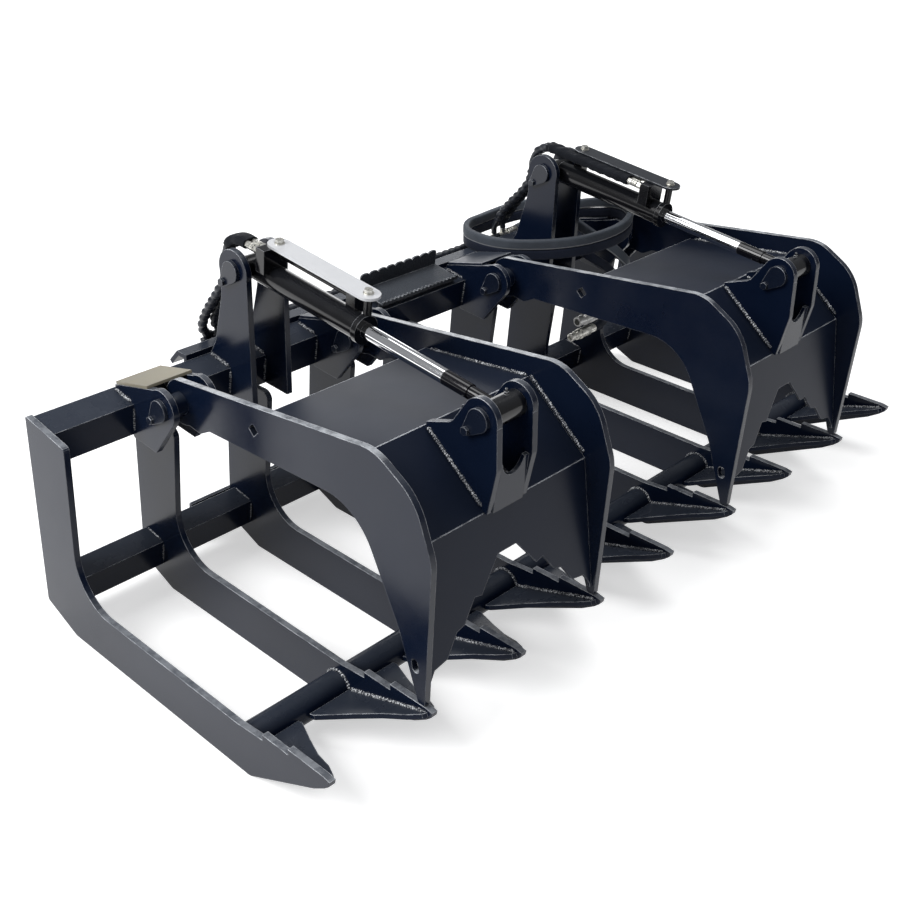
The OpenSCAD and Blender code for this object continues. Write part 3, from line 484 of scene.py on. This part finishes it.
def add_ring(built, centre, axes, sides, radius):
    """Vertices about a centre. radius(angle) gives one radius, or one for each axis."""
    ring = []
    for k in range(sides):
        angle = 2 * math.pi * k / sides
        r = radius(angle)
        a, b = (r, r) if isinstance(r, float) else r
        offset = a * math.cos(angle) * axes[0]
        ring.append(built.verts.new(centre + offset + b * math.sin(angle) * axes[1]))
    return ring


def finish_mesh(name, built, material):
    bmesh.ops.recalc_face_normals(built, faces=built.faces)
    mesh = bpy.data.meshes.new(name)
    built.to_mesh(mesh)
    built.free()
    mesh.materials.append(material)
    return add_object(name, mesh)


def tube(name, line, radius_at, sides, material, up=None, bore=None):
    """A closed tube along a line: radius_at(s, angle) at s metres, bore(angle) if it is hollow.

    Its UVs are metres along it, and AROUND metres once around it.
    """
    built = bmesh.new()
    uv = built.loops.layers.uv.new("UVMap")
    rings, holes, runs, s = [], [], [], 0.0
    previous = None
    for i, p in enumerate(line):
        a, b = line[max(0, i - 1)], line[min(len(line) - 1, i + 1)]
        axes = square_to((b - a).normalized(), up if up is not None else previous)
        previous = axes[0]
        if i:
            s += (p - line[i - 1]).length
        runs.append(s)
        rings.append(add_ring(built, p, axes, sides, lambda angle: radius_at(s, angle)))
        if bore is not None:
            holes.append(add_ring(built, p, axes, sides, bore))
    for i in range(len(rings) - 1):
        low, high = rings[i], rings[i + 1]
        for k in range(sides):
            n = (k + 1) % sides
            face = built.faces.new((low[k], low[n], high[n], high[k]))
            face.smooth = True
            corners = ((k, i), (k + 1, i), (k + 1, i + 1), (k, i + 1))
            for loop, (turn, run) in zip(face.loops, corners):
                loop[uv].uv = (turn / sides * AROUND, runs[run])
    if bore is None:
        built.faces.new(list(reversed(rings[0])))
        built.faces.new(rings[-1])
    else:
        for k in range(sides):
            n = (k + 1) % sides
            for low, high in zip(holes, holes[1:]):
                built.faces.new((low[n], low[k], high[k], high[n])).smooth = True
            built.faces.new((rings[0][n], rings[0][k], holes[0][k], holes[0][n]))
            built.faces.new((rings[-1][k], rings[-1][n], holes[-1][n], holes[-1][k]))
    return finish_mesh(name, built, material)


def lathe(name, start, direction, profiles, material):
    """Turned parts on one axis, closed at both ends, as (sides, [(distance, radius), ...])."""
    direction = Vector(direction).normalized()
    u, v = square_to(direction)
    built = bmesh.new()
    for sides, profile in profiles:
        turns = [2 * math.pi * (k + 0.5) / sides for k in range(sides)]
        rings = []
        for d, r in profile:
            c = start + direction * d
            rings.append([built.verts.new(c + r * (math.cos(t) * u + math.sin(t) * v))
                          for t in turns])
        for a, b in zip(rings, rings[1:]):
            for k in range(sides):
                n = (k + 1) % sides
                built.faces.new((a[k], a[n], b[n], b[k])).smooth = False
        built.faces.new(list(reversed(rings[0])))
        built.faces.new(rings[-1])
    return finish_mesh(name, built, material)


def join(name, parts, body, material):
    """Joins parts on one body into one piece."""
    joined = bmesh.new()
    for part in parts:
        joined.from_mesh(part.data)
    mesh = bpy.data.meshes.new(name)
    joined.to_mesh(mesh)
    joined.free()
    mesh.materials.append(material)
    for part in parts:
        old = part.data
        bpy.data.objects.remove(part)
        bpy.data.meshes.remove(old)
    made = add_object(name, mesh)
    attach(made, body)


def squared(angle, power):
    """Radius of a superellipse that reaches 1 on both axes."""
    return (abs(math.cos(angle)) ** power + abs(math.sin(angle)) ** power) ** (-1 / power)


# Hose routes, through the same points as in part.scad
WELD_GAP = 0.3
HOOK_FLAT, HOOK_RISE, HITCH_T = 28, 2, 10
HOOK_BEND = math.radians(45)
HOOK_EDGE = (UPPER_CORNER[0] + HOOK_FLAT + HITCH_T * math.tan(HOOK_BEND / 2),
             UPPER_CORNER[1] + HOOK_RISE + HITCH_T)
SLOPE = math.sqrt(0.5)
LINE_OUT, LINE_DOWN, LINES_APART = 10.3, 22, 21.5
LINE_A = (HOOK_EDGE[0] + (LINE_OUT + LINE_DOWN) * SLOPE,
          HOOK_EDGE[1] + (LINE_OUT - LINE_DOWN) * SLOPE)
LINE_B = (LINE_A[0] + LINES_APART * SLOPE, LINE_A[1] - LINES_APART * SLOPE)
TEE_A, TEE_B = LIDS["right"] + HOSE_Y[1], LIDS["right"] + HOSE_Y[0]
TEE_HALF, TEE_UP = 15.0, 18.0
COUPLER_A = (574.0, -183.0, BACK - 181)
COUPLER_B = (578.0, -160.0, BACK - 233)
INTO_COUPLER, INTO_TEE, OFF_TOWER = 14, 12, 80
RING_A = [
    (516, 49, 3), (562, 34, 18), (604, 2, 39), (634, -44, 59), (651, -94, 72), (654, -140, 80),
    (644, -186, 83), (620, -218, 77), (580, -234, 67), (530, -231, 57), (462, -208, 48),
    (402, -170, 43), (354, -130, 42), (318, -90, 42), (300, -46, 42), (297, -4, 42), (305, 36, 42),
    (329, 66, 42), (363, 84, 42), (404, 88, 42), (446, 88, 44), (496, 78, 50), (534, 50, 59),
    (553, 6, 67), (558, -44, 62), (563, -92, 39), (580, -142, 11), (608, -180, -17),
    (636, -197, -49), (655, -194, -77), (660, -188, -103), (654, -184, -132), (637, -183, -158),
    (611, -183, -175)]
RING_B = [
    (520, 64, -11), (568, 52, 3), (608, 10, 18), (636, -42, 34), (652, -94, 45), (654, -140, 55),
    (644, -186, 57), (620, -218, 51), (580, -234, 41), (530, -231, 31), (462, -208, 23),
    (402, -170, 18), (354, -130, 17), (318, -90, 18), (300, -46, 20), (297, -4, 20), (305, 36, 20),
    (329, 66, 20), (363, 84, 19), (404, 88, 18), (446, 88, 19), (496, 78, 25), (534, 50, 34),
    (553, 6, 41), (549, -44, 33), (543, -88, 7), (550, -123, -21), (571, -147, -43),
    (603, -160, -67), (636, -164, -98), (654, -163, -121), (662, -161, -148), (660, -160, -175),
    (645, -160, -205), (618, -160, -226)]
DOWN = {
    "right_a": [(0, -46, 167), (0, -24, 131), (0, 4, 99), (0, 28, 67), (0, 44, 40)],
    "right_b": [(0, -46, 167), (0, -22, 131), (0, 11, 97), (0, 40, 61), (0, 58, 31)],
    "left_a": [(0, -46, 167), (0, -26, 131), (0, 0, 97), (1, 22, 67), (6, 38, 39), (22, 47, 16),
               (48, 50, 3)],
    "left_b": [(0, -46, 167), (0, -24, 131), (0, 6, 95), (1, 34, 59), (6, 54, 27), (22, 64, 4),
               (48, 65, -11)],
}
# Not in part.scad: how far each wrapped hose moves away from its neighbour below the tower
WRAP_APART = 2.6


def back_points(x, points):
    """Points given from x and from the top of the back."""
    return [(x + a, b, BACK + c) for a, b, c in points]


def about_tower(x, degrees):
    """Points about the tower pin, at angles from the frame's +y."""
    turns = [math.radians(d) for d in degrees]
    return [(x, TOWER[0] + BEND_R * math.cos(t), TOWER[1] + BEND_R * math.sin(t)) for t in turns]


def hose_route(name):
    side, line = name.split("_")
    x = LIDS[side] + HOSE_Y[1 if line == "a" else 0]
    c, tee, apart = (LINE_A, TEE_A, WRAP_APART) if line == "a" else (LINE_B, TEE_B, -WRAP_APART)
    first, *rest = DOWN[name]
    points = about_tower(x, (52, 42, 32, 22, 12, 2, -4))
    points += back_points(x, [first, *((a + apart, b, c) for a, b, c in rest)])
    if side == "right":
        points += [(x, c[0], c[1] + TEE_UP + INTO_TEE), (x, c[0], c[1] + TEE_UP + WELD_GAP)]
    else:
        points += [(x + OFF_TOWER, *c), (tee - TEE_HALF - WELD_GAP, *c)]
    return [at(*p) for p in points]


def lead_route(tee, c, ring, end):
    points = [(tee + TEE_HALF + WELD_GAP, *c), (tee + 2 * TEE_HALF, *c), *back_points(0, ring),
              (end[0] + INTO_COUPLER, end[1], end[2]), (end[0] + WELD_GAP, end[1], end[2])]
    return [at(*p) for p in points]


# Quick couplers: a ribbed socket above, a plain nipple with a hexagon below
ROUND, RING_SIDES, HEXAGON = 36, 28, 6
RIBS, FIRST_RIB, RIB_STEP = 7, 36, 5
FERRULE = mm((0, 9), (0.8, 11), (5, 11), (6, 10.2), (7, 11), (11, 11), (12, 10.2), (13, 11),
             (18, 11), (20, 10))
ribbed = [pair for k in range(RIBS) for pair in mm(
    (FIRST_RIB + RIB_STEP * k, 14.9), (FIRST_RIB + 2.6 + RIB_STEP * k, 14.9),
    (FIRST_RIB + 3.4 + RIB_STEP * k, 13.9), (FIRST_RIB + 4.2 + RIB_STEP * k, 13.9))]
socket = lathe("coupler_socket", at(*COUPLER_A), (-1, 0, 0), [
    (RING_SIDES, FERRULE),
    (HEXAGON, mm((19.5, 12.5), (20.5, 14), (33, 14), (34.5, 12.5))),
    (ROUND, [*mm((34, 13)), *ribbed, *mm((72, 14.9), (74, 13), (75, 12.2), (95, 12.2), (96, 11.4),
                                         (96, 8.4), (84, 8.4), (84, 0.5))]),
], socket_zinc)
nipple = lathe("coupler_nipple", at(*COUPLER_B), (-1, 0, 0), [
    (RING_SIDES, FERRULE),
    (HEXAGON, mm((19.5, 12.2), (20.5, 14), (33, 14), (34.5, 12.2))),
    (ROUND, mm((34, 12), (35, 13), (44, 13), (46, 14), (58, 14), (60, 12.6), (72, 12.6),
               (74, 10.2), (80, 10.2), (81, 8.8), (85, 8.8), (86, 10.2), (94, 10.2), (96, 8.6),
               (96, 6), (88, 6), (88, 0.5))),
], zinc)
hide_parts("couplers")
for piece in (socket, nipple):
    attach(piece, "frame")

# Lead hoses: flat nylon sleeves over the hoses, in metres
SLEEVE_R, WIDER, FLATTER = 0.0098, 0.0022, 0.0024
SLEEVE_END = 0.05
SLEEVE_POWER = 6
FOLDS, FOLD_DEPTH = 14, 0.0005


def flat_sleeve(total, folds):
    """Outline of a sleeve that is round at both ends, flat between, and pinched at its folds."""
    def radius(s, angle):
        flat = min(1.0, s / SLEEVE_END, (total - s) / SLEEVE_END)
        pinch = sum(d * math.exp(-((s - c) / w) ** 2) for c, w, d in folds) * FOLD_DEPTH
        k = squared(angle, SLEEVE_POWER) * flat + (1 - flat)
        return (SLEEVE_R + WIDER * flat - pinch) * k, (SLEEVE_R - FLATTER * flat + pinch) * k
    return radius


# Hose a, the upper one, gets the fabric with painted light; hose b below it gets the one with
# painted shade
for key, tee, c, ring, end, fitting, cloth, seed in (
        ("a", TEE_A, LINE_A, RING_A, COUPLER_A, socket, sleeve_fabric, 7),
        ("b", TEE_B, LINE_B, RING_B, COUPLER_B, nipple, painted_shade_fabric, 8)):
    route = smooth_line(lead_route(tee, c, ring, end), 0.006)
    total = length_of(route)
    wander = random.Random(seed)
    folds = [(wander.uniform(0.1, 0.9) * total, wander.uniform(0.02, 0.05),
              wander.uniform(0.3, 1.0)) for _ in range(FOLDS)]
    sleeve = tube(f"lead_hose_sleeve_{key}", route, flat_sleeve(total, folds), 32, cloth,
                  up=Vector((0, 0, 1)))
    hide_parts(f"lead_hose_{key}")
    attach(sleeve, "frame")
    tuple(route[0])

# Hoses over the towers: spiral wrap over rubber, bare where the tower sleeves slide. In metres.
WRAP_STEP, WRAP_START, WRAP_END = 0.021, 0.058, 0.036
WRAP_T, WRAP_RIDGE = 0.0004, 0.0030
BARE_GROOVE, BARE_UNDER = 0.0005, 0.0001
FADE_IN, FADE_OUT = 0.006, 0.01


def ridge_at(s, angle):
    return (0.5 + 0.5 * math.cos(2 * math.pi * s / WRAP_STEP - angle)) ** 0.7


def wrapped(total):
    """Radius of a hose of this length, with its wrap between WRAP_START and WRAP_END."""
    def radius(s, angle):
        start = min(1.0, max(0.0, (s - WRAP_START) / FADE_IN))
        on = start * min(1.0, max(0.0, (total - WRAP_END - s) / FADE_OUT))
        ridge = ridge_at(s, angle)
        bare = HOSE_R - BARE_GROOVE * (1 - ridge) * (1 - on) - BARE_UNDER
        return bare + on * (WRAP_T + WRAP_RIDGE * ridge)
    return radius


for number, name in enumerate(DOWN):
    route = smooth_line(hose_route(name), 0.0016)
    hose = tube(f"hose_{name}", route, wrapped(length_of(route)), 20, wrap_rubber)
    if number == 0:
        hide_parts("cylinder_hoses")
    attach(hose, "frame")

# Fabric sleeves that ride with the cylinders, over their hoses
HOSES_MID = sum(HOSE_Y) / 2
SQUARE_ABOVE = 96.81
SLEEVE_WAVES, WAVE_DEPTH, WAVE_ABOVE = 5, 0.00034, 1.4
LOOSE_BESIDE, LOOSE_ABOVE = 0.0006, 0.0007


def on_cylinder(x, a, y, z):
    """A point along the cylinder from the tower pin, beside it and above it."""
    return at(x + y, TOWER[0] - a * TILT_COS - z * TILT_SIN,
              TOWER[1] - a * TILT_SIN + z * TILT_COS)


def round_tower(x, start, end, step=4):
    """Points about the tower pin, in degrees back from square above the cylinder."""
    count = max(2, round((end - start) / step))
    degrees = [SQUARE_ABOVE - start - (end - start) * k / count for k in range(count + 1)]
    return [at(*p) for p in about_tower(x, degrees)]


def boxy(width, height):
    """A squared outline, given in half width and half height."""
    def radius(angle):
        k = squared(angle, 4)
        return width * k, height * k
    return radius


def crumpled(outline, waves):
    """An outline with cloth's lumps. Each wave is (lumps, phase, turns)."""
    def radius(s, angle):
        lump = sum(math.sin(f * s + p + k * math.cos(angle)) for f, p, k in waves) * WAVE_DEPTH
        beside, above = outline(angle)
        return beside + LOOSE_BESIDE + lump, above + LOOSE_ABOVE + WAVE_ABOVE * lump
    return radius


for side, reach, back_turn, seed in (("left", 14.0, 55.0, 21), ("right", 229.0, 14.0, 22)):
    x = LIDS[side]
    straight = [on_cylinder(x, reach * share, HOSES_MID, BEND_R)
                for share in (1.0, 0.75, 0.5, 0.25, 0.0)]
    line = smooth_line([*straight, *round_tower(x + HOSES_MID, 4, back_turn)], 0.0025)
    wander = random.Random(seed)
    waves = [(wander.uniform(60, 260), wander.uniform(0, 6.3), wander.uniform(1, 3))
             for _ in range(SLEEVE_WAVES)]
    sleeve = tube(f"tower_sleeve_{side}", line, crumpled(boxy(0.0168, 0.0093), waves), 36,
                  tower_fabric, up=Vector((1, 0, 0)), bore=boxy(0.0156, 0.0079))
    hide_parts(f"sleeve_{side}")
    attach(sleeve, f"cylinder_{side}")

# Spiral wrap that rides with the right cylinder, behind the end of its sleeve
HALF_WRAP_R, HALF_WRAP_RIDGE, HALF_WRAP_BORE = 0.0086, 0.0017, 0.0077
NEIGHBOUR = 0.0079


def half_wrap(toward):
    """Radius of a wrap that is cut flat before its neighbour, which lies on the side toward."""
    def radius(s, angle):
        full = HALF_WRAP_R + HALF_WRAP_RIDGE * ridge_at(s, angle)
        return min(full, NEIGHBOUR / max(toward * math.cos(angle), 0.01))
    return radius


for label, y, toward in zip("ba", HOSE_Y, (1, -1)):
    line = smooth_line(round_tower(LIDS["right"] + y, 12, 52, 2), 0.0012)
    piece = tube(f"tower_wrap_{label}", line, half_wrap(toward), 28, wrap_rubber,
                 up=Vector((1, 0, 0)), bore=lambda angle: HALF_WRAP_BORE)
    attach(piece, "cylinder_right")

# Plated hose ends at the port blocks and at the tees
FITTING_NUT = mm((0, 7.5), (0.6, 8.3), (11, 8.3), (12, 7.4))
FITTING_CRIMP = mm((11.5, 6.4), (14, 6.4), (14.4, 7.6), (19, 7.6), (20, 7.0), (21, 7.6), (25, 7.6),
                   (26, 7.0), (27, 7.6), (38, 7.6), (40, 7.35))
LEAD_CRIMP = mm((0, 9.6), (1, 11.2), (8, 11.2), (9, 10.5), (10, 11.2), (17, 11.2), (18, 10.5),
                (19, 11.2), (32, 11.2), (34, 10.2))
for side, block in (("left", 50.0), ("right", 267.0)):
    parts = []
    for y in HOSE_Y:
        start = on_cylinder(LIDS[side], block, y, BEND_R)
        toward = on_cylinder(LIDS[side], block - 10, y, BEND_R) - start
        parts.append(lathe("fitting", start, toward, [(HEXAGON, FITTING_NUT), (24, FITTING_CRIMP)],
                           zinc))
    join(f"hose_fittings_{side}", parts, f"cylinder_{side}", zinc)
parts = [lathe("crimp", at(tee + TEE_HALF + WELD_GAP, *c), (1, 0.0, 0.03),
               [(RING_SIDES, LEAD_CRIMP)], zinc) for tee, c in ((TEE_A, LINE_A), (TEE_B, LINE_B))]
join("lead_crimps", parts, "frame", zinc)

# Weld beads. Points are in millimetres, radii in metres.
RIPPLE = 0.0052
BEAD_END, BEAD_TAPER = 0.0012, 0.004
WING_SLOPE = math.tan(math.radians(18.6))
bead_numbers = itertools.count(1)


def bead(points, radius):
    """A rippled bead with tapered ends. Its number is its seed."""
    number = next(bead_numbers)
    line = smooth_line([at(*p) for p in points], 0.0012)
    phase = random.Random(number).uniform(0, 6.3)
    total = length_of(line)

    def lumps(s, angle):
        scallop = 0.5 + 0.5 * math.cos(2 * math.pi * s / RIPPLE + phase)
        taper = min(1.0, (s + BEAD_END) / BEAD_TAPER, (total - s + BEAD_END) / BEAD_TAPER)
        wobble = 0.07 * math.sin(s * 310 + phase) + 0.05 * math.sin(s * 830 + 2 * phase)
        return radius * (0.72 + 0.28 * scallop + wobble) * taper

    return tube(f"bead_{number}", line, lumps, 8, bead_paint)


def tube_pt(corner, f, d):
    """A point f forward of and d below a square tube's top rear corner, along its tilted sides."""
    return (corner[0] - f * math.cos(TUBE_TILT) + d * math.sin(TUBE_TILT),
            corner[1] - f * math.sin(TUBE_TILT) - d * math.cos(TUBE_TILT))


def ear_faces(centres):
    """The x of both faces of both ears about each centre."""
    for centre in centres:
        for s in (-1, 1):
            for face in (-1, 1):
                yield centre + s * (EAR_HALF_GAP + EAR_T / 2) + face * EAR_T / 2


def on_top(x, run, radius, lift=1):
    return bead([(x, y, z + lift) for y, z in run], radius)


def in_front(x, run, radius, out=1):
    return bead([(x, y - out, z) for y, z in run], radius)


tower_top = [tube_pt(UPPER_CORNER, f, 0) for f in (6, 36, 66)]
bracket_top = [tube_pt(UPPER_CORNER, f, 0) for f in (10, 36, 62)]
upper_front = [tube_pt(UPPER_CORNER, UPPER_W, d) for d in (8, 35, 62)]
lower_top = [tube_pt(LOWER_CORNER, f, 0) for f in (6, 30, 54)]
lower_front = [tube_pt(LOWER_CORNER, LOWER_W, d) for d in (6, 28, 48)]
BEAD_ON_PIPE = PIPE_R + 0.6

# Towers and brackets on the upper tube
beads = [on_top(x, tower_top, 0.0058) for x in ear_faces(LIDS.values())]
beads += [in_front(x, upper_front, 0.0034) for x in ear_faces(LIDS.values())]
for x in ear_faces(i * PITCH for i in (-3, -1, 1, 3)):
    beads += [on_top(x, bracket_top, 0.0048), in_front(x, upper_front, 0.0028)]
# Tines on the lower tube and the pipe, and the wings on the tines, apart from the outermost faces
for i in range(-4, 5):
    for face in (-1, 1):
        x = i * PITCH + face * TINE_HALF
        if abs(i) == 4 and face * i > 0:
            continue
        around = [math.radians(a) for a in range(200, -21, -20)]
        on_pipe = [(x, PIPE_Y + BEAD_ON_PIPE * math.cos(a), PIPE_Z + BEAD_ON_PIPE * math.sin(a))
                   for a in around]
        on_wing = [(x, PIPE_Y - t, PIPE_Z - 14 + t * WING_SLOPE + 10.6)
                   for t in (34, 80, 130, 180, 226)]
        beads += [on_top(x, lower_top, 0.0026, 0.8), in_front(x, lower_front, 0.0026, 0.8),
                  bead(on_pipe, 0.0042), bead(on_wing, 0.0050)]
join("frame_weld_beads", beads, "frame", bead_paint)

# Lids: the cover along its sides, and the ears on the cover
COVER_REAR = ((-372, 508.6), (-500, 522.6), (-626, 537.8))
COVER_SLOPE = ((-634, 541), (-700, 487.6), (-770, 431))
EAR_FOOT = ((-638, 537.5), (-700, 487.6), (-768, 433))
for side, lid_x in LIDS.items():
    beads = []
    for s in (-1, 1):
        x = lid_x + s * (PITCH - TINE_HALF)
        beads += [bead([(x, *p) for p in run], 0.0044) for run in (COVER_REAR, COVER_SLOPE)]
        for face in (-1, 1):
            ear_x = lid_x + s * (EAR_HALF_GAP + EAR_T / 2) + face * EAR_T / 2
            beads.append(bead([(ear_x, *p) for p in EAR_FOOT], 0.0046))
    join(f"lid_{side}_weld_beads", beads, f"lid_{side}", bead_paint)

# Floor: matt, and glowing where it is seen or mirrored, darker near the part
built = bmesh.new()
bmesh.ops.create_grid(built, x_segments=2, y_segments=2, size=12)
floor_mesh = bpy.data.meshes.new("floor")
built.to_mesh(floor_mesh)
built.free()
floor = add_object("floor", floor_mesh)
floor_material = bpy.data.materials.new("floor")
g = emptied(floor_material)
out = g.node("ShaderNodeOutputMaterial")
matt = g.node("ShaderNodeBsdfDiffuse")
matt.inputs["Color"].default_value = (0.8, 0.8, 0.8, 1)
glow = g.node("ShaderNodeEmission")
glow.inputs["Color"].default_value = (1, 1, 1, 1)
ray = g.node("ShaderNodeLightPath").outputs
seen = g.math("MAXIMUM", ray["Is Camera Ray"], ray["Is Glossy Ray"])
seen = g.math("MAXIMUM", seen, ray["Is Transmission Ray"])
fading = g.between(g.vector_math("LENGTH", g.coords), 1.2, 6.0, 0.55, 1.0)
g.link(g.times(seen, fading), glow.inputs["Strength"])
both = g.node("ShaderNodeAddShader")
g.link(matt.outputs["BSDF"], both.inputs[0])
g.link(glow.outputs["Emission"], both.inputs[1])
g.link(both.outputs["Shader"], out.inputs["Surface"])
floor_mesh.materials.append(floor_material)

# World: white where it is seen, a soft fill for everything else
world = bpy.data.worlds.new("world")
bpy.context.scene.world = world
g = emptied(world)
out = g.node("ShaderNodeOutputWorld")
fill = g.node("ShaderNodeBackground")
fill.inputs["Color"].default_value = (0.96, 0.975, 1.0, 1)
fill.inputs["Strength"].default_value = 0.30
white = g.node("ShaderNodeBackground")
white.inputs["Color"].default_value = (1, 1, 1, 1)
white.inputs["Strength"].default_value = 1.0
ray = g.node("ShaderNodeLightPath").outputs
choose = g.node("ShaderNodeMixShader")
seen = g.math("MAXIMUM", ray["Is Camera Ray"], ray["Is Transmission Ray"])
g.link(seen, choose.inputs["Fac"])
g.link(fill.outputs["Background"], choose.inputs[1])
g.link(white.outputs["Background"], choose.inputs[2])
g.link(choose.outputs["Shader"], out.inputs["Surface"])

# Lamps
AIM = Vector((0, 0, 0.3))


def lamp(name, place, size, watts):
    data = bpy.data.lights.new(name, "AREA")
    data.shape = "RECTANGLE"
    data.size, data.size_y = size
    data.energy = watts
    made = add_object(name, data)
    made.location = place
    made.rotation_euler = (AIM - Vector(place)).to_track_quat("-Z", "Y").to_euler()


lamp("key", (-4.5, 1.0, 4.2), (3.2, 3.2), 285)
lamp("top", (0.6, 0.4, 5.0), (4.0, 3.0), 110)
lamp("rear", (3.6, 4.6, 1.6), (3.0, 2.0), 45)

bpy.context.scene.view_settings.view_transform = "Standard"
